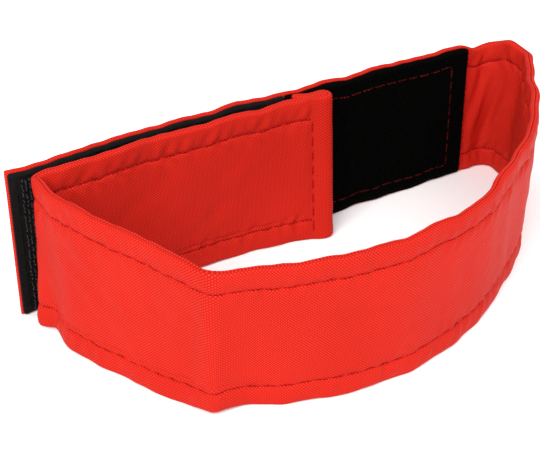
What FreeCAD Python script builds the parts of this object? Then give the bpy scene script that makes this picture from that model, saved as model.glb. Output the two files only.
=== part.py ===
"""Hook-and-loop fabric wristband, closed into an upright loop and standing on its edge.

One narrow strap, 25 mm wide and two cloth layers thick, runs once round the wrist and laps over
itself. Seen from above it starts at the hemmed inner end, turns a sharp fold at the left, passes
along the front, rounds the right side and returns along the straight back to the outer end, which
reaches past the fold as a pull tab.

The strap is three rigid groups: the band (fold, front and right side), the inner flap (the stretch
inside the closure) and the outer flap (the back stretch that peels open). +X runs along the straight
back stretch, +Y points from the front to the back and +Z is up. The origin is the centre of the
footprint, on the surface that the lower edge stands on.
"""

import FreeCAD
import Part
import Sketcher

import math
import os

Vector = FreeCAD.Vector

doc = FreeCAD.newDocument("wristband")
sheet = doc.addObject("Spreadsheet::Sheet", "Sizes")

# Driving dimensions, in millimetres. Lengths along X and Y are places in the plan view.
SIZES = [
    # strap
    ("band_width", 25.0),
    ("cloth", 0.45),
    ("interlining", 0.4),
    ("hem_depth", 4.5),
    ("seam_inset", 3.5),
    ("thread_width", 0.5),
    ("thread_rise", 0.25),
    # closure
    ("hook_tape", 0.9),
    ("inner_loop_tape", 0.8),
    ("outer_loop_tape", 1.0),
    ("closure_gap", 0.3),
    ("hinge_gap", 0.3),
    ("patch_margin", 0.4),
    ("patch_corner", 0.8),
    ("loop_seam", 2.8),
    ("hook_seam", 1.2),
    ("end_seam", 4.2),
    # plan of the strap's middle surface
    ("back_line", 21.5),
    ("inner_end", 8.3),
    ("outer_end", -45.55),
    ("fold_corner", -42.7),
    ("fold_radius", 1.2),
    ("fold_lead", 0.8),
    ("shoulder_across", -42.6),
    ("shoulder_along", 9.7),
    ("shoulder_radius", 20.0),
    ("bend_across", -32.6),
    ("bend_along", -15.0),
    ("bend_radius", 5.0),
    ("front_across", -10.3),
    ("front_along", -23.62),
    ("front_radius", 45.0),
    ("crease_across", 9.7),
    ("crease_along", -18.6),
    ("crease_radius", 20.0),
    ("side_across", 29.2),
    ("side_along", -5.8),
    ("side_radius", 40.0),
    ("elbow_across", 44.65),
    ("elbow_along", 14.0),
    ("elbow_radius", 5.0),
    ("corner_radius", 3.2),
    # hinges and patches, along the back
    ("outer_hinge", 38.6),
    ("outer_loop_right", 38.3),
    ("outer_loop_left", 1.4),
    ("hook_right", 0.4),
    ("hook_left", -45.2),
    ("inner_loop_right", 1.9),
    ("inner_loop_left", -39.4),
]
for row, (alias, value) in enumerate(SIZES, start=1):
    sheet.set("A%d" % row, alias)
    sheet.set("B%d" % row, "%g" % value)
    sheet.setAlias("B%d" % row, alias)
doc.recompute()


def size(alias):
    """The expression that names one cell of the sheet."""
    return "Sizes." + alias


gauge = doc.addObject("Part::Vertex", "Gauge")


def value(expression):
    """What an expression comes to, as a plain number."""
    gauge.setExpression("X", expression)
    gauge.recompute()
    return gauge.X.Value


# Levels that several pieces share, as expressions of the driving dimensions.
HALF_FILL = "Sizes.interlining / 2"
HALF_STRAP = "(Sizes.interlining / 2 + Sizes.cloth)"
BACK_INSIDE = "(Sizes.back_line - %s)" % HALF_STRAP
BACK_OUTSIDE = "(Sizes.back_line + %s)" % HALF_STRAP
HOOK_FACE = "(%s - Sizes.hook_tape)" % BACK_INSIDE
INNER_LOOP_FACE = "(%s - Sizes.closure_gap)" % HOOK_FACE
PANEL_OUTSIDE = "(%s - Sizes.inner_loop_tape)" % INNER_LOOP_FACE
PANEL_LINE = "(%s - %s)" % (PANEL_OUTSIDE, HALF_STRAP)
PANEL_INSIDE = "(%s - 2 * %s)" % (PANEL_OUTSIDE, HALF_STRAP)
INNER_HINGE = "(Sizes.fold_corner + Sizes.fold_radius + Sizes.fold_lead)"
LOWER_SEAM = "(Sizes.seam_inset - Sizes.thread_width / 2)"
UPPER_SEAM = "(Sizes.band_width - Sizes.seam_inset - Sizes.thread_width / 2)"
UPPER_HEM = "(Sizes.band_width - Sizes.hem_depth)"
UPRIGHT_BASE = "(Sizes.seam_inset + Sizes.thread_width)"
UPRIGHT_TALL = "(Sizes.band_width - 2 * Sizes.seam_inset - 2 * Sizes.thread_width)"

nodes = []


def keep(shape, label):
    """Give a finished sub-part its node name and remember it."""
    shape.Label = label
    nodes.append(shape)
    return shape


def strap_route(name, corners, radii):
    """A sketch of straight runs joined by tangent arcs, through named corner points.

    corners holds the plan coordinates of each corner as expressions, the two ends included, and
    radii the expression of the radius at each corner between them. Construction points at the
    corners carry the dimensions, and every run passes through the two corners that it joins.
    """
    points = [Vector(value(across), value(along), 0) for across, along in corners]
    sketch = doc.addObject("Sketcher::SketchObject", name)

    starts = [points[0]]
    ends = []
    arcs = []
    for before, corner, after, radius in zip(points, points[1:], points[2:], radii):
        arriving = (corner - before).normalize()
        leaving = (after - corner).normalize()
        turn = arriving.getAngle(leaving)
        reach = value(radius) * math.tan(turn / 2)
        middle = corner + (leaving - arriving).normalize() * value(radius) * (1 / math.cos(turn / 2) - 1)
        ends.append(corner - arriving * reach)
        starts.append(corner + leaving * reach)
        arcs.append(Part.Arc(ends[-1], middle, starts[-1]))
    ends.append(points[-1])

    runs = [sketch.addGeometry(Part.LineSegment(a, b), False) for a, b in zip(starts, ends)]
    bends = [sketch.addGeometry(arc, False) for arc in arcs]
    marks = [sketch.addGeometry(Part.Point(point), True) for point in points]

    for mark, (across, along) in zip(marks, corners):
        for kind, expression in (("DistanceX", across), ("DistanceY", along)):
            index = sketch.addConstraint(
                Sketcher.Constraint(kind, -1, 1, mark, 1, value(expression)))
            sketch.setExpression("Constraints[%d]" % index, expression)

    sketch.addConstraint(Sketcher.Constraint("Coincident", runs[0], 1, marks[0], 1))
    sketch.addConstraint(Sketcher.Constraint("Coincident", runs[-1], 2, marks[-1], 1))
    for place, run in enumerate(runs):
        for mark in marks[place:place + 2]:
            if mark not in (marks[0], marks[-1]):
                sketch.addConstraint(Sketcher.Constraint("PointOnObject", mark, 1, run))
    for place, (bend, radius) in enumerate(zip(bends, radii)):
        sketch.addConstraint(Sketcher.Constraint("Tangent", runs[place], 2, bend, 1))
        sketch.addConstraint(Sketcher.Constraint("Tangent", bend, 2, runs[place + 1], 1))
        index = sketch.addConstraint(Sketcher.Constraint("Radius", bend, value(radius)))
        sketch.setExpression("Constraints[%d]" % index, radius)
    return sketch


def wall(name, route, inner, thickness, bottom, tall):
    """An upright layer beside a route.

    The layer starts at the distance inner to the outside of the route (negative is towards the
    wrist), is as thick as thickness and stands from the level bottom over the height tall.
    """
    edge = doc.addObject("Part::Offset2D", name + "_edge")
    edge.Source = route
    edge.Mode = "Skin"
    edge.setExpression("Value", inner)
    section = doc.addObject("Part::Offset2D", name + "_section")
    section.Source = edge
    section.Mode = "Skin"
    section.Fill = True
    section.setExpression("Value", thickness)
    layer = doc.addObject("Part::Extrusion", name)
    layer.Base = section
    layer.DirMode = "Custom"
    layer.Dir = Vector(0, 0, 1)
    layer.Solid = True
    layer.setExpression("LengthFwd", tall)
    layer.setExpression("Placement.Base.z", bottom)
    return layer


def bar(name, left, right, front, deep, bottom, tall):
    """A straight upright box between two places along X."""
    box = doc.addObject("Part::Box", name)
    box.setExpression("Length", "%s - %s" % (right, left))
    box.setExpression("Width", deep)
    box.setExpression("Height", tall)
    box.setExpression("Placement.Base.x", left)
    box.setExpression("Placement.Base.y", front)
    box.setExpression("Placement.Base.z", bottom)
    return box


def layer(name, stretch, inner, thickness, bottom, tall):
    """An upright layer of one stretch of the strap.

    A stretch is the band's route or, for a straight flap, its left end, its right end and its middle
    line. The layer starts at the distance inner to the outside of the middle surface.
    """
    if isinstance(stretch, tuple):
        left, right, line = stretch
        return bar(name, left, right, "(%s + %s)" % (line, inner), thickness, bottom, tall)
    return wall(name, stretch, inner, thickness, bottom, tall)


def cover(label, stretch):
    """The outer cloth, with the hem allowances that it turns in along both edges."""
    filler = size("interlining")
    depth = size("hem_depth")
    web = layer(label + "_web", stretch, HALF_FILL, size("cloth"), "0", size("band_width"))
    lower = layer(label + "_lower_hem", stretch, "-" + HALF_FILL, filler, "0", depth)
    upper = layer(label + "_upper_hem", stretch, "-" + HALF_FILL, filler, UPPER_HEM, depth)
    joined = doc.addObject("Part::MultiFuse", label + "_cloth")
    joined.Shapes = [web, lower, upper]
    joined.Refine = True
    return keep(joined, label)


def lining(label, stretch):
    """The inner cloth, next to the wrist."""
    cloth = layer(label + "_cloth", stretch, "-" + HALF_STRAP, size("cloth"), "0", size("band_width"))
    return keep(cloth, label)


def interlining(label, stretch):
    """The soft filler between the two hems."""
    tall = "(Sizes.band_width - 2 * Sizes.hem_depth)"
    filler = layer(label + "_filler", stretch, "-" + HALF_FILL, size("interlining"), size("hem_depth"), tall)
    return keep(filler, label)


def seam(label, stretch, level, faces):
    """One row of topstitching along the strap, as a raised run of thread on each face it shows on."""
    starts = {"outside": HALF_STRAP, "inside": "-(%s + Sizes.thread_rise)" % HALF_STRAP}
    rise, wide = size("thread_rise"), size("thread_width")
    runs = [
        layer("%s_%s" % (label, face), stretch, starts[face], rise, level, wide)
        for face in faces
    ]
    if len(runs) == 1:
        return keep(runs[0], label)
    row = doc.addObject("Part::Compound", label + "_runs")
    row.Links = runs
    return keep(row, label)


def end_seam(label, left, front):
    """The stitching across the strap's hemmed end."""
    right = "(%s + Sizes.thread_width)" % left
    row = bar(label + "_run", left, right, front, size("thread_rise"), UPRIGHT_BASE, UPRIGHT_TALL)
    return keep(row, label)


def box_seam(label, left, right, inset, front):
    """The rectangle of stitching that holds a patch, as four runs of thread on one face.

    The level runs lie between the strap's edge and its edge seam, and the upright ones between the
    two edge seams.
    """
    near = "(%s + %s)" % (left, inset)
    far = "(%s - %s)" % (right, inset)
    low = "(%s - Sizes.thread_width / 2)" % inset
    high = "(Sizes.band_width - %s - Sizes.thread_width / 2)" % inset
    rise = size("thread_rise")
    width = size("thread_width")
    frame = doc.addObject("Part::Compound", label + "_frame")
    frame.Links = [
        bar(label + "_low", near, far, front, rise, low, width),
        bar(label + "_high", near, far, front, rise, high, width),
        bar(label + "_near", near, "(%s + %s)" % (near, width), front, rise, UPRIGHT_BASE, UPRIGHT_TALL),
        bar(label + "_far", "(%s - %s)" % (far, width), far, front, rise, UPRIGHT_BASE, UPRIGHT_TALL),
    ]
    return keep(frame, label)


def patch(label, left, right, back, thickness):
    """A rectangle of fastening tape with slightly rounded corners, lying against the face at back."""
    body = doc.addObject("PartDesign::Body", label + "_body")
    plane = [item for item in body.Origin.OriginFeatures if item.Role == "XZ_Plane"][0]
    outline = body.newObject("Sketcher::SketchObject", label + "_outline")
    outline.AttachmentSupport = (plane, [""])
    outline.MapMode = "FlatFace"
    # the sketch faces -Y, so its offset counts from the origin towards the front
    outline.setExpression("AttachmentOffset.Base.z", "-%s" % back)

    low = "Sizes.patch_margin"
    high = "(Sizes.band_width - Sizes.patch_margin)"
    corners = [(left, low), (right, low), (right, high), (left, high)]
    points = [Vector(value(x), value(z), 0) for x, z in corners]
    sides = [
        outline.addGeometry(Part.LineSegment(points[i], points[(i + 1) % 4]), False) for i in range(4)
    ]
    for i in range(4):
        outline.addConstraint(Sketcher.Constraint("Coincident", sides[i], 2, sides[(i + 1) % 4], 1))
    for i in (0, 2):
        outline.addConstraint(Sketcher.Constraint("Horizontal", sides[i]))
        outline.addConstraint(Sketcher.Constraint("Vertical", sides[i + 1]))
    for side, (x, z) in ((sides[0], corners[0]), (sides[2], corners[2])):
        for kind, expression in (("DistanceX", x), ("DistanceY", z)):
            index = outline.addConstraint(
                Sketcher.Constraint(kind, -1, 1, side, 1, value(expression)))
            outline.setExpression("Constraints[%d]" % index, expression)

    pad = body.newObject("PartDesign::Pad", label + "_tape")
    pad.Profile = outline
    pad.setExpression("Length", thickness)
    doc.recompute()
    through = [
        "Edge%d" % (place + 1)
        for place, edge in enumerate(pad.Shape.Edges)
        if abs(edge.tangentAt(edge.FirstParameter).y) > 0.99
    ]
    rounding = body.newObject("PartDesign::Fillet", label + "_corners")
    rounding.Base = (pad, through)
    rounding.setExpression("Radius", size("patch_corner"))
    body.Tip = rounding
    return keep(body, label)


# The band's route in the plan, from the inner end's side to the outer end's side, and the two
# straight flaps that it joins.
band_route = strap_route(
    "band_route",
    [
        (INNER_HINGE, PANEL_LINE),
        (size("fold_corner"), PANEL_LINE),
        (size("shoulder_across"), size("shoulder_along")),
        (size("bend_across"), size("bend_along")),
        (size("front_across"), size("front_along")),
        (size("crease_across"), size("crease_along")),
        (size("side_across"), size("side_along")),
        (size("elbow_across"), size("elbow_along")),
        (size("elbow_across"), size("back_line")),
        (size("outer_hinge"), size("back_line")),
    ],
    [
        size(name + "_radius")
        for name in ("fold", "shoulder", "bend", "front", "crease", "side", "elbow", "corner")
    ],
)
inner_stretch = ("(%s + Sizes.hinge_gap)" % INNER_HINGE, size("inner_end"), PANEL_LINE)
outer_stretch = (size("outer_end"), "(Sizes.outer_hinge - Sizes.hinge_gap)", size("back_line"))
doc.recompute()

# Band: fold, front and right side, seen on both faces.
cover("band_cover", band_route)
lining("band_lining", band_route)
interlining("band_interlining", band_route)
seam("band_upper_seam", band_route, UPPER_SEAM, ("outside", "inside"))
seam("band_lower_seam", band_route, LOWER_SEAM, ("outside", "inside"))

# Inner flap: its seams show on the wrist side only, because the loop patch covers the other face.
cover("inner_flap_cover", inner_stretch)
lining("inner_flap_lining", inner_stretch)
interlining("inner_flap_interlining", inner_stretch)
seam("inner_flap_upper_seam", inner_stretch, UPPER_SEAM, ("inside",))
seam("inner_flap_lower_seam", inner_stretch, LOWER_SEAM, ("inside",))
end_seam("inner_end_seam", "(Sizes.inner_end - Sizes.end_seam)", "(%s - Sizes.thread_rise)" % PANEL_INSIDE)
patch("inner_loop_patch", size("inner_loop_left"), size("inner_loop_right"), INNER_LOOP_FACE,
      size("inner_loop_tape"))

# Outer flap: hook and loop patches on the wrist side, seams on the outside.
cover("outer_flap_cover", outer_stretch)
lining("outer_flap_lining", outer_stretch)
interlining("outer_flap_interlining", outer_stretch)
seam("outer_flap_upper_seam", outer_stretch, UPPER_SEAM, ("outside",))
seam("outer_flap_lower_seam", outer_stretch, LOWER_SEAM, ("outside",))
patch("hook_patch", size("hook_left"), size("hook_right"), BACK_INSIDE, size("hook_tape"))
patch("outer_loop_patch", size("outer_loop_left"), size("outer_loop_right"), BACK_INSIDE,
      size("outer_loop_tape"))
box_seam("hook_patch_seam", size("hook_left"), size("hook_right"), size("hook_seam"), BACK_OUTSIDE)
box_seam("outer_loop_patch_seam", size("outer_loop_left"), size("outer_loop_right"), size("loop_seam"),
         BACK_OUTSIDE)

doc.recompute()

for item in doc.Objects:
    if "Invalid" in item.State or "Error" in item.State:
        raise RuntimeError("%s failed: %s" % (item.Label, item.State))
for node in nodes:
    if node.Shape.isNull() or not node.Shape.isValid() or not node.Shape.Solids:
        raise RuntimeError("%s has no valid solid" % node.Label)

os.makedirs("parts", exist_ok=True)
for node in nodes:
    node.Shape.exportStep(os.path.join("parts", node.Label + ".step"))

whole = FreeCAD.BoundBox()
for node in nodes:
    whole.add(node.Shape.BoundBox)
    print("%-24s %8.1f mm3, %d solids" % (node.Label, node.Shape.Volume, len(node.Shape.Solids)))
print("overall %.2f x %.2f x %.2f mm" % (whole.XLength, whole.YLength, whole.ZLength))
print("centre of the footprint %.3f, %.3f, lowest level %.3f" % (whole.Center.x, whole.Center.y, whole.ZMin))
runs = [value("%s - %s" % (right, left)) for left, right, line in (inner_stretch, outer_stretch)]
print("strap: inner flap %.1f, outer flap %.1f, band %.1f mm" % (*runs, band_route.Shape.Length))
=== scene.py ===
"""Looks of the fabric wristband: sewn cloth strap, hook and loop tapes, stitching, floor, light and camera.

Lengths are in millimetres until a mesh is made, which turns them into metres. A place on the strap has
three numbers. s runs along the strap from the free edge of the turned-back inner end, round that end's
fold, along the panel, round the left fold, the front and the right side to the outer end. z runs across
the strap from its lower edge to its upper edge. The offset is the distance from the strap's middle
surface, positive on the outer cloth's side, which faces away from the wrist.
"""

import math

import bpy
import numpy as np
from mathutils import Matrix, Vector


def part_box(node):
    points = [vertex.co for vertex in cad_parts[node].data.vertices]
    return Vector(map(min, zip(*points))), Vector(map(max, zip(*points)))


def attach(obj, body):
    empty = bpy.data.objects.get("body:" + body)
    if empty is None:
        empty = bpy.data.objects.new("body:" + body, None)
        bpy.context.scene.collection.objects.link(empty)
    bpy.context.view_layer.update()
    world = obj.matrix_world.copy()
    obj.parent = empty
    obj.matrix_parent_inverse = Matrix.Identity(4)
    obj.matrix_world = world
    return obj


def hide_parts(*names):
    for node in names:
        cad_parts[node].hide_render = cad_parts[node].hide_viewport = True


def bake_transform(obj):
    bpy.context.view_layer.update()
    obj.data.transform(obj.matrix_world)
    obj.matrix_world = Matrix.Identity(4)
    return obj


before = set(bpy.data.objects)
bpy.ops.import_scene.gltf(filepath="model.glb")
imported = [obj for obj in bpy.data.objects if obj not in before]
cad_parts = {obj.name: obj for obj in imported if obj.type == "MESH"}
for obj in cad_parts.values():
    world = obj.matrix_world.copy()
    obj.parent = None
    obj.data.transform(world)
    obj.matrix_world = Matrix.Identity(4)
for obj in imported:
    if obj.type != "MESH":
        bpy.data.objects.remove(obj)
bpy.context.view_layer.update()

MM = 0.001

# ------------------------------------------------------------------ camera

CAMERA_PLACE = (-0.0975, -0.1353, 0.11625)
CAMERA_DOWN = 32.0
CAMERA_TURN = 31.6
CAMERA_LENS = 86.67


def make_camera():
    """The still camera, in front of the band's left half and above it."""
    data = bpy.data.cameras.new("camera")
    data.lens = CAMERA_LENS
    data.clip_start = 0.005
    camera = bpy.data.objects.new("camera", data)
    camera.location = CAMERA_PLACE
    camera.rotation_euler = (math.radians(90 - CAMERA_DOWN), 0, math.radians(-CAMERA_TURN))
    bpy.context.scene.collection.objects.link(camera)
    bpy.context.scene.camera = camera


make_camera()

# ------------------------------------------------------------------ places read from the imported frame


def node_box(name):
    """Lowest and highest corner of a CAD node, in millimetres."""
    low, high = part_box(name)
    return np.array(low) / MM, np.array(high) / MM


def middle_line(flap):
    """Y of the middle surface of a straight flap, between its two cloths."""
    return (node_box(flap + "_cover")[1][1] + node_box(flap + "_lining")[0][1]) / 2


WIDTH = node_box("band_lining")[1][2]
HALF_STRAP = (node_box("outer_flap_cover")[1][1] - node_box("outer_flap_lining")[0][1]) / 2
BACK_LINE = middle_line("outer_flap")
PANEL_LINE = middle_line("inner_flap")
INNER_END = node_box("inner_flap_cover")[1][0]
OUTER_END = node_box("outer_flap_cover")[0][0]
RIGHT_SIDE = node_box("band_cover")[1][0] - HALF_STRAP
LEFT_SIDE = node_box("band_cover")[0][0] + HALF_STRAP
PATCH_RIGHT = node_box("outer_loop_patch")[1][0]

# ------------------------------------------------------------------ the strap's line in the plan

TURNBACK = 6.2      # depth of the turned-back end
TURNBACK_GAP = 1.5  # between its middle surface and the panel's
TIP = INNER_END - HALF_STRAP - 0.3

# corner points and corner radii of the strap's middle line, which follows the CAD's from the panel on
ROUTE = [
    ((INNER_END - TURNBACK, PANEL_LINE + TURNBACK_GAP), 0.0),
    ((TIP, PANEL_LINE + TURNBACK_GAP), TURNBACK_GAP / 2),
    ((TIP, PANEL_LINE), TURNBACK_GAP / 2),
    ((LEFT_SIDE, PANEL_LINE), 1.0),
    ((LEFT_SIDE + 0.1, 9.7), 20.0),
    ((-32.6, -15.0), 1.9),
    ((-10.3, -23.62), 45.0),
    ((9.7, -18.6), 20.0),
    ((29.2, -5.8), 40.0),
    ((RIGHT_SIDE, 14.0), 5.0),
    ((RIGHT_SIDE, BACK_LINE), 3.2),
    ((OUTER_END, BACK_LINE), 0.0),
]
ROUTE_STEP = 0.05
ROUTE_SOFTNESS = 0.3


def trace_route():
    """Closely spaced points of the route: straight runs joined by tangent arcs, slightly softened."""
    corners = [np.array(place) for place, radius in ROUTE]
    line = [corners[0]]

    def run_to(target):
        start = line[-1]
        gap = np.linalg.norm(target - start)
        count = max(1, round(gap / ROUTE_STEP)) if gap > 1e-6 else 0
        line.extend(start + (target - start) * k / count for k in range(1, count + 1))

    for before, corner, after, (place, radius) in zip(corners, corners[1:], corners[2:], ROUTE[1:]):
        arriving = (corner - before) / np.linalg.norm(corner - before)
        leaving = (after - corner) / np.linalg.norm(after - corner)
        turn = math.acos(float(np.clip(arriving @ leaving, -1, 1)))
        side = math.copysign(1, arriving[0] * leaving[1] - arriving[1] * leaving[0])
        begin = corner - arriving * radius * math.tan(turn / 2)
        run_to(begin)
        inward = side * np.array([-arriving[1], arriving[0]]) * radius
        count = max(4, round(radius * turn / ROUTE_STEP))
        for angle in turn * np.arange(1, count + 1) / count:
            line.append(begin + inward * (1 - math.cos(angle)) + arriving * radius * math.sin(angle))
    run_to(corners[-1])

    line = np.array(line)
    reach = int(3 * ROUTE_SOFTNESS / ROUTE_STEP)
    window = np.exp(-0.5 * (np.arange(-reach, reach + 1) * ROUTE_STEP / ROUTE_SOFTNESS) ** 2)
    window /= window.sum()
    before = 2 * line[0] - line[reach:0:-1]
    after = 2 * line[-1] - line[-2:-reach - 2:-1]
    padded = np.vstack([before, line, after])
    return np.column_stack([np.convolve(padded[:, i], window, "valid") for i in (0, 1)])


PLAN = trace_route()
ALONG = np.concatenate([[0], np.cumsum(np.linalg.norm(np.diff(PLAN, axis=0), axis=1))])
LENGTH = ALONG[-1]
TANGENT = np.gradient(PLAN, ALONG, axis=0)
TANGENT /= np.linalg.norm(TANGENT, axis=1)[:, None]


def s_near(x, y, after=0.0):
    """The place along the strap, past a given one, that is nearest to a plan point."""
    far = np.where(ALONG < after, 1e9, 0)
    return float(ALONG[np.argmin(np.hypot(PLAN[:, 0] - x, PLAN[:, 1] - y) + far)])


def s_on_back(x):
    """The place along the straight back stretch, from its X."""
    return LENGTH - (x - OUTER_END)


S_TIP = s_near(TIP + 1, PANEL_LINE + TURNBACK_GAP / 2)


def s_on_panel(x):
    """The place along the straight panel, from its X."""
    return s_near(x, PANEL_LINE, after=S_TIP)


# the left fold, the bend to the front, and the two corners of the right side
S_FOLD, S_BEND, S_ELBOW, S_CORNER = (s_near(*ROUTE[k][0], after=S_TIP) for k in (3, 5, 9, 10))

# where the cloths are divided into their left, front and right stretches
S_LEFT_SPLIT = S_BEND - 10
S_RIGHT_SPLIT = S_ELBOW - 0.5

# ------------------------------------------------------------------ shape of the strap


# moves all the irregular waves along the strap
WAVE_OFFSET = 1.2


def ripple(values, waves, seed):
    """A smooth irregular wave of about unit height: cosines of the given wavelengths, seeded phases."""
    phases = np.random.default_rng(seed).uniform(0, 2 * math.pi, len(waves))
    turns = [2 * math.pi * (values + WAVE_OFFSET) / wave for wave in waves]
    return sum(np.cos(turn + phase) for turn, phase in zip(turns, phases)) / math.sqrt(len(waves))


def bump(values, centre, width):
    """A smooth bump of height 1."""
    return np.exp(-((values - centre) / width) ** 2)


def bumps(values, shapes):
    """The sum of (centre, width, height) bumps."""
    return sum(height * bump(values, centre, width) for centre, width, height in shapes)


def through(values, pairs):
    """A smooth curve through (place, height) pairs, level beyond the first and the last."""
    places, heights = (np.array(column, float) for column in zip(*pairs))
    slopes = np.gradient(heights, places)
    slopes[[0, -1]] = 0
    at = np.clip(values, places[0], places[-1])
    k = np.clip(np.searchsorted(places, at) - 1, 0, len(places) - 2)
    gap = places[k + 1] - places[k]
    t = (at - places[k]) / gap
    return (
        (2 * t**3 - 3 * t**2 + 1) * heights[k]
        + (t**3 - 2 * t**2 + t) * gap * slopes[k]
        + (3 * t**2 - 2 * t**3) * heights[k + 1]
        + (t**3 - t**2) * gap * slopes[k + 1]
    )


def on_front(x, y):
    """The place along the strap nearest to a plan point past the left fold."""
    return s_near(x, y, after=S_FOLD)


# place, how far the strap stands out from its plan line there, and how far its upper edge leans out
STANCE = [
    (S_TIP, -1.9, 1.5),
    (s_on_panel(2), -0.6, 0.9),
    (s_on_panel(-7), 0.2, 0.4),
    (s_on_panel(-16), 0.4, 0.2),
    (s_on_panel(-30), 0.2, 0.1),
    (s_on_panel(-38), 0.0, 0.0),
    (S_FOLD - 0.8, 0.0, 0.0),
    (S_FOLD + 1.0, 0.45, -0.8),
    (on_front(-43.3, 14.3), -0.2, -0.1),
    (on_front(-42.6, 8.0), 0.05, -0.3),
    (on_front(-38.1, -3.5), 0.2, 0.0),
    (on_front(-34.6, -10.5), 0.25, 0.45),
    (S_BEND, 0.2, 0.9),
    (on_front(-28.6, -16.6), -0.3, 1.7),
    (on_front(-22.6, -19.0), -0.1, 1.3),
    (on_front(-17.0, -20.6), 0.0, 1.2),
    (on_front(-5.0, -21.5), 0.15, 1.0),
    (on_front(9.7, -18.6), 0.05, 0.9),
    (on_front(20.5, -11.6), 0.4, 0.5),
    (on_front(33.3, -1.0), 0.35, 0.4),
    (S_ELBOW, 0.3, 0.4),
    (S_CORNER - 2, 0.3, 0.2),
    (s_on_back(38), 0.1, 0.2),
    (s_on_back(10), 0.0, 0.2),
    (s_on_back(-28), 0.1, 0.2),
    (s_on_back(-36), -0.1, 0.1),
    (LENGTH, -0.4, 0.0),
]
SHIFT = [(place, shift) for place, shift, lean in STANCE]
LEAN = [(place, lean) for place, shift, lean in STANCE]

# the upper edge's larger waves: place, width, height
UPPER_WAVES = [
    (s_on_panel(-22), 7.0, 0.3),
    (S_BEND, 3.0, -0.35),
    (on_front(-25.6, -17.9), 4.5, -0.35),
    (on_front(-9.5, -21.3), 4.0, -0.4),
    (on_front(1.0, -20.6), 4.0, -0.3),
    (on_front(9.7, -18.6), 5.0, -0.25),
    (on_front(26.0, -7.6), 6.0, -0.25),
    (S_ELBOW + 5, 2.0, -0.2),
    (S_CORNER - 2.6, 1.6, 0.35),
    (s_on_back(41.4), 3.4, -1.45),
    (s_on_back(40.0), 1.2, -0.25),
    (S_CORNER - 5.5, 1.5, -0.25),
    (s_on_back(29), 5.0, -0.2),
    (s_on_back(-14), 14.0, 0.35),
]
# the lower edge's larger waves, in the same way
LOWER_WAVES = [
    (on_front(-43.2, 14.5), 2.4, 0.5),
    (S_BEND + 1.5, 2.4, 0.55),
]

SEAM = 3.5           # from an edge to its row of stitches
END_ROW = 4.2        # from the inner end to the row of stitches across it
STITCH_PITCH = 2.4
CLOTH = 0.22         # thickness of one cloth
END_ROUND = 0.6      # over which a raw end closes
END_SLANT = 0.45     # how far the inner end leans along the strap, out at the top and in at the bottom
FIELD_RISE = 0.58    # from the strap's middle surface to a cloth between its seams
PRESSED_RISE = 0.32  # the same under a patch
LEAST_RISE = 0.16    # so that the two cloths stay apart
EDGE_SWAY = 0.17     # how far the strap's edges wander from its plan line
BELLY_SWAY = 0.2     # the same between its seams
EDGE_INSET = 0.16    # mean height of the lower edge over the floor
EDGE_CALM = 1.4      # the lower edge rests on the floor, so its small waves are this much lower


def mirrored(s):
    """The turned-back end shares the waves of the panel that it lies against."""
    return np.where(s < S_TIP, 2 * S_TIP - s, s)


def sway(s, share):
    """How far soft folds and wavy edges carry the strap out of its plan line."""
    edge = (2 * share - 1) ** 2
    lower = ripple(s, (7.3, 9.7, 15.1), 11)
    upper = ripple(s, (8.1, 11.9, 19.0), 12)
    edges = EDGE_SWAY * edge * np.where(share > 0.5, upper, lower)
    belly = BELLY_SWAY * (1 - edge) * ripple(s + 5 * share, (23.0, 37.0), 13)
    return edges + belly


def bend_fold(s, share):
    """A slanting hollow and a ridge where the strap turns from its left side to its front."""
    between_seams = bump(share, 0.5, 0.36)
    hollow = bump(s, S_BEND - 3.0 + 5.0 * (share - 0.5), 1.7)
    ridge = bump(s, S_BEND + 0.5, 1.1)
    return (0.25 * ridge - 0.6 * hollow) * between_seams


def edge_low(s):
    """Height of the lower edge over the floor."""
    wavy = 0.12 * ripple(s, (8.7, 12.3, 21.0), 21) + 0.05 * ripple(s, (3.3, 4.9), 23)
    return np.maximum(EDGE_INSET + wavy / EDGE_CALM, 0.0) + bumps(s, LOWER_WAVES)


def edge_high(s):
    """Height of the upper edge."""
    wavy = 0.15 * ripple(s, (9.1, 14.3, 24.0), 22) + 0.05 * ripple(s, (3.1, 4.7), 24)
    return WIDTH - 0.15 + wavy + bumps(s, UPPER_WAVES)


def surface(s, offset, z):
    """Points in millimetres from places along the strap, offsets and places across it.

    The strap's waves move its points square to the plan line, or straight back on the panel.
    """
    s, offset, z = np.broadcast_arrays(s, offset, z)
    soft = mirrored(s)
    x, y = (np.interp(s, ALONG, PLAN[:, i]) for i in (0, 1))
    out_x, out_y = np.interp(s, ALONG, TANGENT[:, 1]), -np.interp(s, ALONG, TANGENT[:, 0])
    on_panel = s < s_on_panel(-30)
    soft_x, soft_y = np.where(on_panel, 0, out_x), np.where(on_panel, 1, out_y)
    share = z / WIDTH
    upper = 2 * share - 1
    x = x + END_SLANT * upper * bump(soft, S_TIP, 6.0)
    out = through(soft, SHIFT) + through(soft, LEAN) * upper
    out = out + sway(soft, share) + bend_fold(soft, share)
    low = edge_low(soft)
    up = low + (edge_high(soft) - low) * share
    return np.stack([x + out_x * offset + soft_x * out, y + out_y * offset + soft_y * out, up], axis=-1)


def rounded_end(s):
    """1 along the strap, falling to 0 in a quarter circle at both of its ends."""
    inside = np.clip(np.minimum(s, LENGTH - s) / END_ROUND, 0, 1)
    return np.sqrt(np.clip(1 - (1 - inside) ** 2, 0, 1))


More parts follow.
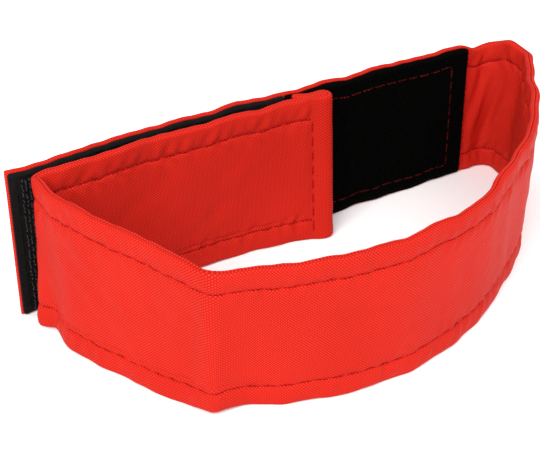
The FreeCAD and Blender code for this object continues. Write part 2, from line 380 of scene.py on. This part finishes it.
def puckers(s, z, side):
    """Small gathers in the cloth beside both seams, and faint creases between them.

    They are stronger on the inner cloth, which has more length than its side of the strap needs.
    """
    from_edge = np.minimum(z, WIDTH - z)
    phase = np.where(z > WIDTH / 2, 3.1, 0.0)
    above = bump(from_edge, SEAM + 0.6, 1.2)
    below = bump(from_edge, SEAM - 1.2, 1.1)
    gathers = above * ripple(s + phase + 0.5 * from_edge, (2.1, 2.9, 4.3, 6.9), 31 + side)
    gathers = gathers + below * ripple(s + phase - 0.4 * from_edge, (2.3, 3.3, 5.1), 35 + side)
    pulled = (above + below) * (0.5 + 0.5 * np.cos(2 * math.pi * s / STITCH_PITCH + phase))
    faint = ripple(s + 0.8 * z, (6.1, 9.3), 41 + side) * ripple(z - 0.3 * s, (11.0, 17.0), 51 + side)
    broad = ripple(s + 0.15 * z, (13.0, 21.0), 45 + side) * bump(z, WIDTH / 2, 0.35 * WIDTH)
    strength = 0.10 if side > 0 else 0.15
    return strength * (gathers - pulled) + 0.06 * faint + 0.12 * broad


def second_line(s, z, side):
    """A second pressed line above the lower seam, on the left front outside and on the panel inside."""
    first, last = (S_FOLD + 1, S_BEND + 6) if side > 0 else (S_TIP + 8, S_FOLD)
    strength = np.clip((s - first) / 3, 0, 1) * np.clip((last - s) / 8, 0, 1)
    strength = strength * (0.8 + 0.2 * ripple(s, (3.7, 6.1), 61))
    apart = 1.15 if side > 0 else 0.8
    height = SEAM + apart + 0.12 * ripple(s, (9.0, 14.0), 62)
    return strength * (0.24 * bump(z, height, 0.25) - 0.07 * bump(z, height - apart / 2, 0.3))


def pressed(s):
    """1 where patches are sewn on the back stretch, rising from 0 just before them."""
    run_in = 1.5
    return np.clip((s - s_on_back(PATCH_RIGHT)) / run_in + 1.3, 0, 1)


def corner_folds(s, z, side):
    """Slanting folds of the inner cloth, gathered inside the right corner."""
    if side > 0:
        return 0.0
    slant = s - S_CORNER + 0.35 * (z - WIDTH / 2)
    broad = np.cos(2 * math.pi * slant / 5.3 + 3.9)
    fine = np.cos(2 * math.pi * slant / 2.9)
    waves = 0.55 + 0.42 * broad + 0.16 * fine
    fade = bump(z, WIDTH / 2, 0.33 * WIDTH) * bump(s, S_CORNER + 1, 7.0) * (1 - pressed(s))
    return 0.8 * waves * fade


def end_dimple(s, side):
    """The pressed-in row of stitching across the turned-back inner end."""
    row = s_on_panel(INNER_END - END_ROW)
    return (0.16 * bump(s, row, 0.35) + 0.36 * bump(s, row, 1.2)) * (side < 0)


def near_tip(s):
    """1 round the fold of the turned-back inner end, 0 beyond its row of stitching."""
    return np.clip((END_ROW + 0.3 - np.abs(s - S_TIP)) / 1.2, 0, 1)


def face_offset(s, z, side):
    """Distance from the middle surface to a cloth's own middle: full hems, pinched seams, a flat field."""
    from_edge = np.minimum(z, WIDTH - z)
    # a patch flattens the inner cloth's hems, and a little of the outer cloth's
    flat = (1.0 if side < 0 else 0.3) * pressed(s)
    field = FIELD_RISE - (FIELD_RISE - PRESSED_RISE) * pressed(s)
    seamed = (1 - flat) * (1 - near_tip(s))
    hem = 0.12 * bump(from_edge, 1.8, 1.2) * seamed
    groove = (0.24 * bump(from_edge, SEAM, 0.24) + 0.14 * bump(from_edge, SEAM, 0.7)) * seamed
    gathers = puckers(s, z, side) * (1 - 0.8 * pressed(s)) * (1 - 0.7 * near_tip(s))
    lines = end_dimple(s, side) + second_line(s, z, side)
    return np.maximum(field + hem - groove + gathers - lines + corner_folds(s, z, side), LEAST_RISE)


# ------------------------------------------------------------------ meshes


def make_mesh(name, vertices, faces, material, normals=None, uv=None):
    """A smooth-shaded object from vertices in millimetres and lists of faces."""
    mesh = bpy.data.meshes.new(name)
    mesh.from_pydata((np.asarray(vertices) * MM).tolist(), [], faces)
    mesh.polygons.foreach_set("use_smooth", np.ones(len(mesh.polygons), bool))
    if uv is not None:
        layer = mesh.uv_layers.new(name="cloth")
        corner = np.zeros(len(mesh.loops), np.int32)
        mesh.loops.foreach_get("vertex_index", corner)
        layer.data.foreach_set("uv", (np.asarray(uv) * MM)[corner].astype(np.float32).ravel())
    mesh.materials.append(material)
    mesh.update()
    if normals is not None:
        mesh.normals_split_custom_set_from_vertices(normals.tolist())
    piece = bpy.data.objects.new(name, mesh)
    bpy.context.scene.collection.objects.link(piece)
    return piece


def grid_normals(points):
    """Unit normals of a grid of points, towards the cross product of its two directions."""
    normals = np.cross(np.gradient(points, axis=0), np.gradient(points, axis=1))
    return normals / np.maximum(np.linalg.norm(normals, axis=-1, keepdims=True), 1e-9)


def thick_sheet(name, points, normals, thickness, uv, material, keep_normals=True):
    """A closed sheet of even thickness about a grid of points, with its four rims closed."""
    rows, columns = points.shape[:2]
    count = rows * columns
    front = (points + normals * thickness / 2).reshape(-1, 3)
    back = (points - normals * thickness / 2).reshape(-1, 3)
    index = np.arange(count).reshape(rows, columns)
    a, b, c, d = index[:-1, :-1], index[1:, :-1], index[1:, 1:], index[:-1, 1:]
    faces = [np.stack([a, b, c, d], -1), np.stack([d, c, b, a], -1) + count]
    for rim in (index[:, 0], index[::-1, -1], index[0, ::-1], index[-1, :]):
        faces.append(np.stack([rim[1:], rim[:-1], rim[:-1] + count, rim[1:] + count], -1))
    faces = np.vstack([block.reshape(-1, 4) for block in faces]).tolist()
    flat = normals.reshape(-1, 3)
    both = np.vstack([flat, -flat]) if keep_normals else None
    return make_mesh(name, np.vstack([front, back]), faces, material, both, np.vstack([uv, uv]))


def tubes(name, points, ups, radii, flatness, sides, material):
    """Many short closed tubes at once, one for each row of points, with their own radius at each point."""
    count, stations = points.shape[:2]
    ahead = np.gradient(points, axis=1)
    ahead /= np.linalg.norm(ahead, axis=-1, keepdims=True)
    across = np.cross(ahead, ups)
    across /= np.linalg.norm(across, axis=-1, keepdims=True)
    up = np.cross(across, ahead)
    angles = 2 * math.pi * np.arange(sides) / sides
    ring = (
        across[:, :, None] * np.cos(angles)[:, None]
        + up[:, :, None] * (np.sin(angles) * flatness)[:, None]
    )
    vertices = points[:, :, None] + ring * np.asarray(radii)[None, :, None, None]
    index = np.arange(count * stations * sides).reshape(count, stations, sides)
    turned = np.roll(index, -1, axis=2)
    walls = np.stack([index[:, :-1], turned[:, :-1], turned[:, 1:], index[:, 1:]], -1)
    faces = walls.reshape(-1, 4).tolist()
    faces += index[:, 0, ::-1].tolist() + index[:, -1].tolist()
    along = np.cumsum(np.linalg.norm(np.diff(points, axis=1, prepend=points[:, :1]), axis=-1), axis=1)
    turn = np.broadcast_to(angles / (2 * math.pi), index.shape)
    uv = np.stack([np.broadcast_to(along[:, :, None], index.shape), turn], -1).reshape(-1, 2)
    return make_mesh(name, vertices.reshape(-1, 3), faces, material, uv=uv)


# ------------------------------------------------------------------ materials


class Finish:
    """A material's node tree, with short calls for the nodes that it uses."""

    def __init__(self, name):
        self.material = bpy.data.materials.new(name)
        self.material.use_nodes = True
        self.tree = self.material.node_tree
        self.shader = self.tree.nodes["Principled BSDF"]

    def node(self, kind, inputs=(), **settings):
        node = self.tree.nodes.new(kind)
        for key, setting in settings.items():
            setattr(node, key, setting)
        for socket, source in dict(inputs).items():
            self.feed(node.inputs[socket], source)
        return node

    def feed(self, socket, source):
        if isinstance(source, bpy.types.NodeSocket):
            self.tree.links.new(source, socket)
        else:
            socket.default_value = source

    def math(self, operation, *values):
        return self.node("ShaderNodeMath", dict(enumerate(values)), operation=operation).outputs[0]

    def noise(self, place, scale, detail=2.0):
        inputs = {"Vector": place, "Scale": scale, "Detail": detail}
        return self.node("ShaderNodeTexNoise", inputs).outputs["Fac"]

    def ramp(self, value, stops):
        """A colour ramp through (place, colour) stops."""
        node = self.node("ShaderNodeValToRGB", {"Fac": value})
        elements = node.color_ramp.elements
        while len(elements) < len(stops):
            elements.new(0.5)
        for element, (place, colour) in zip(elements, stops):
            element.position = place
            element.color = (*colour, 1.0)
        return node.outputs["Color"]

    def multiplied(self, first, second):
        """The product of two colours."""
        node = self.tree.nodes.new("ShaderNodeMix")
        node.data_type = "RGBA"
        node.blend_type = "MULTIPLY"
        colour_sockets = [socket for socket in node.inputs if socket.type == "RGBA"]
        self.feed(node.inputs["Factor"], 1.0)
        self.feed(colour_sockets[0], first)
        self.feed(colour_sockets[1], second)
        return next(socket for socket in node.outputs if socket.type == "RGBA")

    def bump(self, height, distance, below=None):
        inputs = {"Height": height, "Distance": distance, "Strength": 1.0}
        if below is not None:
            inputs["Normal"] = below
        return self.node("ShaderNodeBump", inputs).outputs["Normal"]

    def cloth_place(self):
        """U along the strap and V across it, in metres."""
        uv = self.node("ShaderNodeUVMap", uv_map="cloth").outputs["UV"]
        parts = self.node("ShaderNodeSeparateXYZ", {0: uv})
        return uv, parts.outputs["X"], parts.outputs["Y"]

    def surface(self, **sockets):
        for name, source in sockets.items():
            self.feed(self.shader.inputs[name.replace("_", " ")], source)
        return self.material


def red_cloth():
    """Coated plain-woven polyester: small pillows of thread, warp and weft of two nearly equal reds. Its
    colour also holds painted shade in the gaps between the pillows and a paler painted highlight on their
    tops.
    """
    pitch = 0.23 * MM
    finish = Finish("red_cloth")
    uv, u, v = finish.cloth_place()
    wobble = finish.math("MULTIPLY", finish.noise(uv, 900.0), 0.35)
    a = finish.math("SINE", finish.math("ADD", finish.math("MULTIPLY", u, math.pi / pitch), wobble))
    b = finish.math("SINE", finish.math("ADD", finish.math("MULTIPLY", v, math.pi / pitch), wobble))
    crossing = finish.math("MULTIPLY", a, b)
    pillow = finish.math("POWER", finish.math("ABSOLUTE", crossing), 0.6)
    over = finish.math("MULTIPLY_ADD", crossing, 0.5, 0.5)
    shade = finish.math("ADD", finish.math("MULTIPLY", pillow, 0.4), finish.math("MULTIPLY", over, 0.6))
    # dark stop: painted shade in the gaps between the pillows; pale pinkish top stop: painted highlight on
    # the pillow tops
    reds = [(0.1, (0.25, 0.002, 0.001)), (0.5, (0.48, 0.013, 0.007)), (1.0, (0.74, 0.050, 0.030))]
    weave_and_painted_light = finish.ramp(shade, reds)
    patchy = finish.ramp(finish.noise(uv, 70.0, 4.0), [(0.3, (0.90, 0.88, 0.88)), (0.7, (1.0, 1.0, 1.0))])
    colour = finish.multiplied(weave_and_painted_light, patchy)
    wrinkles = finish.bump(finish.noise(uv, 260.0, 3.0), 0.00018)
    normal = finish.bump(shade, 0.00003, wrinkles)
    roughness = finish.math("MULTIPLY_ADD", pillow, -0.12, 0.56)
    return finish.surface(Base_Color=colour, Roughness=roughness, Normal=normal, Specular_IOR_Level=0.03)


PLIES = 2
PLY_LENGTH = 0.7  # of thread, for one turn of the plies


def thread(name, dark, light):
    """Two-ply sewing thread: slanting bands round each stitch."""
    finish = Finish(name)
    uv, u, v = finish.cloth_place()
    along = finish.math("MULTIPLY", u, 2 * math.pi / (PLY_LENGTH * MM))
    round_it = finish.math("MULTIPLY", v, PLIES * 2 * math.pi / MM)
    turns = finish.math("ADD", along, round_it)
    ply = finish.math("MULTIPLY_ADD", finish.math("SINE", turns), 0.5, 0.5)
    colour = finish.ramp(ply, [(0.1, dark), (0.8, light)])
    return finish.surface(Base_Color=colour, Roughness=0.8, Normal=finish.bump(ply, 0.00004),
                          Specular_IOR_Level=0.1)


def tape(name, dark, light, roughness, specular):
    """Woven tape or dyed nylon: fine ribs with uneven black."""
    finish = Finish(name)
    uv, u, v = finish.cloth_place()
    rib = finish.math("SINE", finish.math("MULTIPLY", v, 2 * math.pi / (0.4 * MM)))
    cross = finish.math("SINE", finish.math("MULTIPLY", u, 2 * math.pi / (0.55 * MM)))
    height = finish.math("MULTIPLY_ADD", finish.math("MULTIPLY", rib, cross), 0.5, 0.5)
    uneven = finish.noise(uv, 1400.0, 4.0)
    value = finish.math("ADD", finish.math("MULTIPLY", height, 0.4), finish.math("MULTIPLY", uneven, 0.6))
    colour = finish.ramp(value, [(0.25, dark), (0.75, light)])
    return finish.surface(Base_Color=colour, Roughness=roughness, Normal=finish.bump(value, 0.00006),
                          Specular_IOR_Level=specular)


def felt():
    """Pale needled filler between the two cloths."""
    finish = Finish("filler")
    place = finish.node("ShaderNodeTexCoord").outputs["Object"]
    fibres = finish.noise(place, 2500.0, 6.0)
    colour = finish.ramp(fibres, [(0.3, (0.62, 0.60, 0.57)), (0.7, (0.86, 0.85, 0.82))])
    return finish.surface(Base_Color=colour, Roughness=0.95, Normal=finish.bump(fibres, 0.0002))


RED_CLOTH = red_cloth()
# red thread darkened below the cloth's red: painted shade of the grooves that the seam rows sink into
RED_THREAD_PAINTED_SHADE = thread("red_thread", (0.17, 0.001, 0.001), (0.42, 0.006, 0.004))
# the same red thread darkened further: painted shade of the loop pile that the stitches sink into
PILE_SHADED_THREAD = thread("red_thread_pile_shade", (0.03, 0.001, 0.001), (0.11, 0.004, 0.003))
BLACK_THREAD = thread("black_thread", (0.0012, 0.0012, 0.0012), (0.003, 0.003, 0.003))
FELT = felt()
LOOP_BLACKS = ((0.0008, 0.0008, 0.0007), (0.0024, 0.0024, 0.0021))
HOOK_TAPE = tape("hook_tape", (0.002, 0.002, 0.002), (0.007, 0.007, 0.007), roughness=0.8, specular=0.1)
# dark grey, lighter than the tape: part of this lightness is a painted glint, so the hooks show as grey
# dots
HOOK_NYLON_PAINTED_GLINT = tape("hook_nylon", (0.015, 0.015, 0.015), (0.06, 0.06, 0.06), roughness=0.35, specular=0.5)
LOOP_TAPE = tape("loop_tape", *LOOP_BLACKS, roughness=0.95, specular=0.02)
LOOP_PILE = tape("loop_pile", *LOOP_BLACKS, roughness=0.95, specular=0.02)

# ------------------------------------------------------------------ the two cloths and the filler

STEP = 0.42     # between vertices
TIP_STEP = 0.15
TIP_REACH = 3   # either side of the inner end's fold, where the vertices are closer
SEAM_STEP = 0.18
HEM = 4.5       # depth of the turned-in hems
NOSE = 0.5      # height over which a hem turns round its edge
TURNED = 0.12   # from the strap's middle surface to the turned-in cloth
FILLER = 0.5    # thickness of the filler


def ring_places():
    """Places along the strap for a row of vertices: even, closer at the ends and at the end's fold."""
    body = np.arange(2.0, LENGTH - 2.0, STEP)
    tip = np.arange(S_TIP - TIP_REACH, S_TIP + TIP_REACH, TIP_STEP)
    body = np.concatenate([body[np.abs(body - S_TIP) > TIP_REACH], tip])
    start = np.concatenate([END_ROUND * (1 - np.cos(np.linspace(0, math.pi / 2, 7))), [1.0, 1.5]])
    return np.sort(np.concatenate([start, body, LENGTH - start, [S_LEFT_SPLIT, S_RIGHT_SPLIT]]))


def section():
    """A cloth's path across the strap, from inside its lower hem to inside its upper hem.

    Returns z and how far (0 to 1) each point is from the middle surface towards the face. The path runs
    down inside the hem, round the edge, up the face, round the other edge and down inside that hem.
    """
    first = 1.2
    turn = np.linspace(first, math.pi, 10)
    around = NOSE - (NOSE - 0.03) * np.sin(turn)
    inside = np.append(np.linspace(HEM, NOSE, 7), around[0] + 0.05)
    hem = np.linspace(NOSE, 2.5, 6)[1:]
    seam = np.arange(2.68, 5.3, SEAM_STEP)
    field = np.arange(5.6, WIDTH / 2, STEP)
    face = np.concatenate([hem, seam, field])
    z = np.concatenate([inside, around, face])
    outward = (math.cos(first) - np.cos(turn)) / (math.cos(first) + 1)
    on_face = np.concatenate([np.zeros(len(inside)), outward, np.ones(len(face))])
    return np.concatenate([z, WIDTH - z[::-1]]), np.concatenate([on_face, on_face[::-1]])


def cloth_grid(side):
    """Grid of points of a cloth's middle over the whole strap, with their normals and flat places."""
    s = ring_places()
    z, on_face = section()
    s_grid, z_grid = np.meshgrid(s, z, indexing="ij")
    face = face_offset(s_grid, z_grid, side)
    offset = side * (TURNED + (face - TURNED) * on_face) * rounded_end(s_grid)
    points = surface(s_grid, offset, z_grid)
    normals = grid_normals(points) * -side
    across = np.concatenate([[0], np.cumsum(np.hypot(np.diff(z), np.diff(on_face) * 0.4))])
    uv = np.stack(np.meshgrid(s, across, indexing="ij"), -1)
    return s, points, normals, uv


# each stretch of the strap, with its first and last place
STRETCHES = [
    ("left", 0, S_LEFT_SPLIT),
    ("front", S_LEFT_SPLIT, S_RIGHT_SPLIT),
    ("right", S_RIGHT_SPLIT, LENGTH),
]
# the CAD body that holds most of each stretch
BODY_OF = {"left": "inner_flap", "front": "band", "right": "outer_flap"}
# the flap that an end stretch bends into, and where the bend starts and ends, in metres from its hinge
BENDS = {
    "left": ("inner_flap", (-0.0009, -0.0009, 0), (0.0009, 0.0009, 0)),
    "right": ("outer_flap", (0.0028, 0, 0), (-0.0002, 0, 0)),
}


def fasten(piece, stretch):
    """The middle stretch rides on the band; each end stretch keeps its place, with its transform baked into
    its mesh.
    """
    if stretch in BENDS:
        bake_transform(piece)
    else:
        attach(piece, "band")


def make_cloth(label, part, side):
    """The outer or inner cloth, in three stretches that meet edge to edge."""
    s, points, normals, uv = cloth_grid(side)
    if side > 0:
        points, normals, uv = points[:, ::-1], normals[:, ::-1], uv[:, ::-1]
    for stretch, first, last in STRETCHES:
        inside = (s >= first - 1e-6) & (s <= last + 1e-6)
        piece = thick_sheet(
            "%s_%s" % (label, stretch), points[inside], normals[inside], CLOTH,
            uv[inside].reshape(-1, 2), RED_CLOTH)
        fasten(piece, stretch)
        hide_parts("%s_%s" % (BODY_OF[stretch], part))


def make_interlining():
    """The filler between the hems, a little shorter than the strap."""
    short = 1.2
    z = np.linspace(HEM + 0.1, WIDTH - HEM - 0.1, 12)
    for stretch, first, last in STRETCHES:
        places = np.linspace(max(first, short), min(last, LENGTH - short), int((last - first) / 0.8))
        s_grid, z_grid = np.meshgrid(places, z, indexing="ij")
        points = surface(s_grid, 0.0, z_grid)
        uv = np.stack([s_grid, z_grid], -1).reshape(-1, 2)
        piece = thick_sheet("interlining_" + stretch, points, grid_normals(points), FILLER, uv, FELT)
        fasten(piece, stretch)
        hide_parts(BODY_OF[stretch] + "_interlining")


make_cloth("outer_cloth", "cover", 1)
make_cloth("inner_cloth", "lining", -1)
make_interlining()

# ------------------------------------------------------------------ fastening tapes

TAPE_BASE = 0.36                     # thickness of a woven tape
TAPE_HEIGHTS = (0.15, WIDTH - 0.25)  # its lower and upper edge
TAPE_CORNER = 0.4
FIBRE_SIDES = 4
HOOK_RADIUS = 0.06
LOOP_RADIUS = 0.05


def tape_foot(side):
    """Offset of the strap's face where a tape lies on it."""
    return CLOTH / 2 + (FIELD_RISE if side > 0 else PRESSED_RISE)


def tape_patch(name, side, s_range, material):
    """The woven base of a tape, a thin sheet with rounded corners lying on one face of the strap."""
    first, last = s_range
    ease = 0.1 * np.array([0, 1, 2, 3, 4, 6, 8])
    middle = np.linspace(first + 1.2, last - 1.2, int((last - first) / 0.8))
    s = np.concatenate([first + ease, middle, last - ease[::-1]])
    z = np.linspace(*TAPE_HEIGHTS, 31)
    s_grid, z_grid = np.meshgrid(s, z, indexing="ij")
    into = np.clip(TAPE_CORNER - np.minimum(s_grid - s[0], s[-1] - s_grid), 0, TAPE_CORNER)
    rounding = TAPE_CORNER - np.sqrt(np.clip(TAPE_CORNER**2 - into**2, 0, None))
    z_grid = z_grid - rounding * (2 * (z_grid - z[0]) / (z[-1] - z[0]) - 1)
    offset = side * (tape_foot(side) + TAPE_BASE / 2)
    points = surface(s_grid, offset, z_grid)
    uv = np.stack([s_grid, z_grid], -1).reshape(-1, 2)
    return thick_sheet(name, points, grid_normals(points), TAPE_BASE, uv, material, keep_normals=False)


def tape_frame(s, z, side):
    """Foot points on a tape's face with the two directions along it and the one out of it."""
    level = tape_foot(side) + TAPE_BASE
    foot = surface(s, side * level, z)
    out = surface(s, side * (level + 0.5), z) - foot
    out /= np.linalg.norm(out, axis=-1, keepdims=True)
    up = surface(s, side * level, z + 0.1) - foot
    up /= np.linalg.norm(up, axis=-1, keepdims=True)
    return foot, np.cross(out, up), up, out


def curled(name, s, z, side, path, turns, radius, material):
    """Many small bent fibres standing on a tape: path gives each one's sideways and outward places."""
    foot, ahead, up, out = tape_frame(s, z, side)
    lying = ahead * np.cos(turns)[:, None] + up * np.sin(turns)[:, None]
    sideways, outward = path
    points = foot[:, None] + lying[:, None] * sideways[..., None] + out[:, None] * outward[..., None]
    ups = np.broadcast_to(np.cross(lying, out)[:, None], points.shape)
    radii = np.full(points.shape[1], radius)
    return tubes(name, points, ups, radii, flatness=1.0, sides=FIBRE_SIDES, material=material)


def tape_places(s_range, margin, pitch_s, pitch_z, jitter, seed):
    """Staggered places over a tape, slightly irregular."""
    random = np.random.default_rng(seed)
    s = np.arange(s_range[0] + margin, s_range[1] - margin, pitch_s)
    z = np.arange(TAPE_HEIGHTS[0] + 0.8, TAPE_HEIGHTS[1] - 0.8, pitch_z)
    s_grid, z_grid = np.meshgrid(s, z, indexing="ij")
    z_grid = z_grid + (np.arange(len(s)) % 2)[:, None] * pitch_z / 2
    s_flat = s_grid.ravel() + random.normal(0, jitter, s_grid.size)
    z_flat = np.clip(z_grid.ravel() + random.normal(0, jitter, s_grid.size), z[0], z[-1])
    return s_flat, z_flat, random


def make_hook_tape():
    """Woven tape with rows of bent nylon hooks, a plain selvage at each end."""
    low, high = node_box("hook_patch")
    s_range = (s_on_back(node_box("outer_loop_patch")[0][0]) + 0.1, s_on_back(low[0]) + 0.2)
    base = tape_patch("hook_tape", -1, s_range, HOOK_TAPE)
    s, z, random = tape_places(s_range, margin=1.5, pitch_s=0.62, pitch_z=0.66, jitter=0.04, seed=71)
    sideways = np.array([0.0, 0.0, 0.03, 0.10, 0.20, 0.28, 0.30])
    outward = np.array([-0.1, 0.22, 0.38, 0.48, 0.49, 0.40, 0.30])
    grow = random.uniform(0.9, 1.1, len(s))[:, None]
    facing = np.where(random.uniform(size=len(s)) > 0.5, math.pi / 2, -math.pi / 2)
    turns = facing + random.normal(0, 0.15, len(s))
    hooks = curled("hooks", s, z, -1, (sideways * grow, outward * grow), turns, HOOK_RADIUS, HOOK_NYLON_PAINTED_GLINT)
    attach(base, "outer_flap")
    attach(hooks, "outer_flap")
    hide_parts("hook_patch")


def make_loop_tape(name, node, side, body, to_s, seed):
    """Woven tape covered in a pile of fine loops; to_s turns the CAD patch's X into places on the strap."""
    low, high = node_box(node)
    s_range = tuple(sorted((to_s(high[0]), to_s(low[0]))))
    base = tape_patch(name, side, s_range, LOOP_TAPE)
    s, z, random = tape_places(s_range, margin=0.3, pitch_s=0.5, pitch_z=0.5, jitter=0.12, seed=seed)
    bend = np.linspace(0, math.pi, 6)
    wide = random.uniform(0.16, 0.3, len(s))[:, None]
    tall = random.uniform(0.28, 0.5, len(s))[:, None]
    path = (-wide * np.cos(bend), tall * np.sin(bend) - 0.05)
    turns = random.uniform(0, 2 * math.pi, len(s))
    pile = curled(name + "_pile", s, z, side, path, turns, LOOP_RADIUS, LOOP_PILE)
    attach(base, body)
    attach(pile, body)
    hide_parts(node)


make_hook_tape()
make_loop_tape("outer_loop_tape", "outer_loop_patch", -1, "outer_flap", s_on_back, seed=81)
make_loop_tape("inner_loop_tape", "inner_loop_patch", 1, "inner_flap", s_on_panel, seed=91)

# ------------------------------------------------------------------ stitching

STITCH_LENGTH = 2.25
THREAD_RADIUS = 0.14


def stitches_on(run, side, height):
    """Centre lines and up directions of the stitches of one straight run between two (s, z) places.

    Each stitch lies on the face and dips into it at both ends.
    """
    (s0, z0), (s1, z1) = run
    length = math.hypot(s1 - s0, z1 - z0)
    count = max(1, round(length / STITCH_PITCH))
    centres = (np.arange(count) + 0.5) / count
    t = np.linspace(-1, 1, 7)
    share = centres[:, None] + t * STITCH_LENGTH / 2 / length
    s = s0 + (s1 - s0) * share
    z = z0 + (z1 - z0) * share + 0.04 * ripple(s, (5.3, 8.9), 101)
    offset = side * (height(s, z) + 0.04 - 0.16 * t**4)
    points = surface(s, offset, z)
    ups = surface(s, offset + side * 0.2, z) - points
    return points, ups


def sew(name, runs, material):
    """One object with the stitches of several runs, each with its side and the height of its face."""
    rows = [stitches_on(run, side, height) for run, side, height in runs]
    points = np.vstack([row[0] for row in rows])
    ups = np.vstack([row[1] for row in rows])
    radii = THREAD_RADIUS * np.array([0.7, 0.95, 1.0, 1.0, 1.0, 0.95, 0.7])
    piece = tubes(name, points, ups, radii, flatness=0.8, sides=8, material=material)
    return piece


def cloth_face(side):
    """Height of a cloth's visible face."""
    return lambda s, z: face_offset(s, z, side) + CLOTH / 2


def tape_face(s, z):
    """Height of a tape's woven face."""
    return tape_foot(-1) + TAPE_BASE + 0 * s


OUTER_FACE = (1, cloth_face(1))
INNER_FACE = (-1, cloth_face(-1))
TAPE_FACE = (-1, tape_face)

# where the edge seams show, on each stretch: first place, last place and face
SEAM_RUNS = {
    "left": [
        (S_FOLD + 1.0, S_LEFT_SPLIT, OUTER_FACE),
        (s_on_panel(INNER_END - END_ROW), S_LEFT_SPLIT, INNER_FACE),
    ],
    "front": [
        (S_LEFT_SPLIT, S_RIGHT_SPLIT, OUTER_FACE),
        (S_LEFT_SPLIT, S_RIGHT_SPLIT, INNER_FACE),
    ],
    "right": [
        (S_RIGHT_SPLIT, LENGTH - 1.0, OUTER_FACE),
        (S_RIGHT_SPLIT, s_on_back(PATCH_RIGHT), INNER_FACE),
    ],
}


def make_edge_seams():
    """Topstitching along both edges, on each face where it shows."""
    for level, z in (("lower", SEAM), ("upper", WIDTH - SEAM)):
        for stretch, runs in SEAM_RUNS.items():
            rows = [(((first, z), (last, z)), *face) for first, last, face in runs]
            piece = sew("%s_seam_%s" % (level, stretch), rows, RED_THREAD_PAINTED_SHADE)
            fasten(piece, stretch)
            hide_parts("%s_%s_seam" % (BODY_OF[stretch], level))


def make_end_seam():
    """The row across the turned-back inner end, from near its lower edge to the upper seam."""
    s = s_on_panel(INNER_END - END_ROW)
    run = ((s, 1.2), (s, WIDTH - SEAM))
    piece = sew("inner_end_stitches", [(run, *INNER_FACE)], RED_THREAD_PAINTED_SHADE)
    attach(piece, "inner_flap")
    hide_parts("inner_end_seam")


def box_runs(node, ends, low_inset, high_inset):
    """The four runs of a rectangle of stitching inside a patch's outline."""
    low, high = node_box(node)
    near, far = s_on_back(high[0]) + ends, s_on_back(low[0]) - ends
    bottom, top = low_inset, WIDTH - high_inset
    return [((near, bottom), (far, bottom)), ((far, bottom), (far, top)),
            ((far, top), (near, top)), ((near, top), (near, bottom))]


def make_box_seams():
    """The stitching that holds the patches: red outside, black on the hook tape, and on the loops red
    thread darkened with painted shade of the pile.
    """
    hook_runs = box_runs("hook_patch", ends=0.9, low_inset=0.9, high_inset=0.9)
    loop_runs = box_runs("outer_loop_patch", ends=3.3, low_inset=2.4, high_inset=3.2)
    rows = [
        ("hook_tape_stitches", hook_runs, OUTER_FACE, RED_THREAD_PAINTED_SHADE, "hook_patch_seam"),
        ("hook_tape_black_stitches", hook_runs, TAPE_FACE, BLACK_THREAD, None),
        ("loop_tape_stitches", loop_runs, OUTER_FACE, RED_THREAD_PAINTED_SHADE, "outer_loop_patch_seam"),
        ("loop_tape_inner_stitches", loop_runs, TAPE_FACE, PILE_SHADED_THREAD, None),
    ]
    for name, runs, face, material, node in rows:
        piece = sew(name, [(run, *face) for run in runs], material)
        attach(piece, "outer_flap")
        if node:
            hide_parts(node)


make_edge_seams()
make_end_seam()
make_box_seams()

# ------------------------------------------------------------------ floor and light


def make_floor():
    """A plain pale floor."""
    finish = Finish("floor")
    place = finish.node("ShaderNodeTexCoord").outputs["Object"]
    colour = finish.ramp(finish.noise(place, 3.0), [(0.3, (0.96, 0.96, 0.96)), (0.7, (0.98, 0.98, 0.98))])
    material = finish.surface(Base_Color=colour, Roughness=0.9, Specular_IOR_Level=0.1)
    half = 2.0  # metres
    mesh = bpy.data.meshes.new("floor")
    corners = [(-half, -half, 0), (half, -half, 0), (half, half, 0), (-half, half, 0)]
    mesh.from_pydata(corners, [], [(0, 1, 2, 3)])
    mesh.materials.append(material)
    floor = bpy.data.objects.new("floor", mesh)
    bpy.context.scene.collection.objects.link(floor)


BAND_MIDDLE = Vector((0, 0, 0.012))


def soft_light(name, place, size, watts):
    """A square soft box aimed at the middle of the band."""
    data = bpy.data.lights.new(name, "AREA")
    data.shape = "SQUARE"
    data.size = size
    data.energy = watts
    light = bpy.data.objects.new(name, data)
    light.location = place
    light.rotation_euler = (BAND_MIDDLE - Vector(place)).to_track_quat("-Z", "Y").to_euler()
    bpy.context.scene.collection.objects.link(light)


def make_world(strength):
    """Even white surroundings."""
    world = bpy.data.worlds.new("studio")
    world.use_nodes = True
    background = world.node_tree.nodes["Background"]
    background.inputs["Color"].default_value = (1.0, 1.0, 1.0, 1.0)
    background.inputs["Strength"].default_value = strength
    bpy.context.scene.world = world


make_floor()
soft_light("key", (-0.38, -0.26, 0.42), size=0.35, watts=3.6)
soft_light("fill", (0.14, -0.40, 0.48), size=0.40, watts=1.3)
make_world(strength=0.93)
bpy.context.scene.view_settings.view_transform = "Standard"
